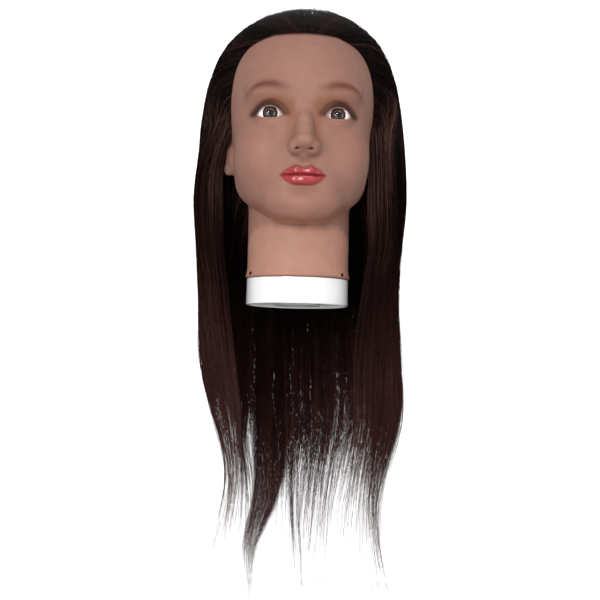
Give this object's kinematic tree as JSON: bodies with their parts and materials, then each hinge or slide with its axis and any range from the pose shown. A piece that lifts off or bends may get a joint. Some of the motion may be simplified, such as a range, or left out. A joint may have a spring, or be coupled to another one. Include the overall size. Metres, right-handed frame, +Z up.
{
  "type": "mannequin training head",
  "caption": "Hairdresser's mannequin training head: hollow vinyl head with long rooted dark hair combed back, painted face, inset eyes and a white neck base with a clamp socket.",
  "frame": {"origin": "centre of the clamp socket's mouth, on the underside of the neck base", "axes": "+Z up through the top of the head, -Y the way the face looks, +X the head's own left"},
  "size_m": [0.214, 0.2306, 0.5825],
  "materials": {
    "skin_vinyl": "satin vinyl skin with painted lips, brows and eyelids",
    "latex": "matt brushed latex",
    "foam": "rigid polyurethane foam",
    "white_plastic": "glossy white moulding",
    "socket_plastic": "matt white moulding",
    "pin_steel": "dark steel",
    "eye_white": "polished acrylic",
    "iris": "printed brown iris",
    "eye_lens": "clear acrylic",
    "hair": "long straight very dark brown hair"
  },
  "bodies": {
    "root": {"vinyl_skin": "skin_vinyl", "scalp_backing": "latex", "foam_core": "foam", "neck_base": "white_plastic", "post_socket": "socket_plastic", "neck_pins": "pin_steel", "left_eye_white": "eye_white", "right_eye_white": "eye_white", "left_iris": "iris", "right_iris": "iris", "left_eye_lens": "eye_lens", "right_eye_lens": "eye_lens", "hair_fringe": "hair", "hair_crown_left": "hair", "hair_crown_right": "hair", "hair_side_left": "hair", "hair_side_right": "hair", "hair_back": "hair", "hair_nape": "hair"}
  },
  "joints": []
}
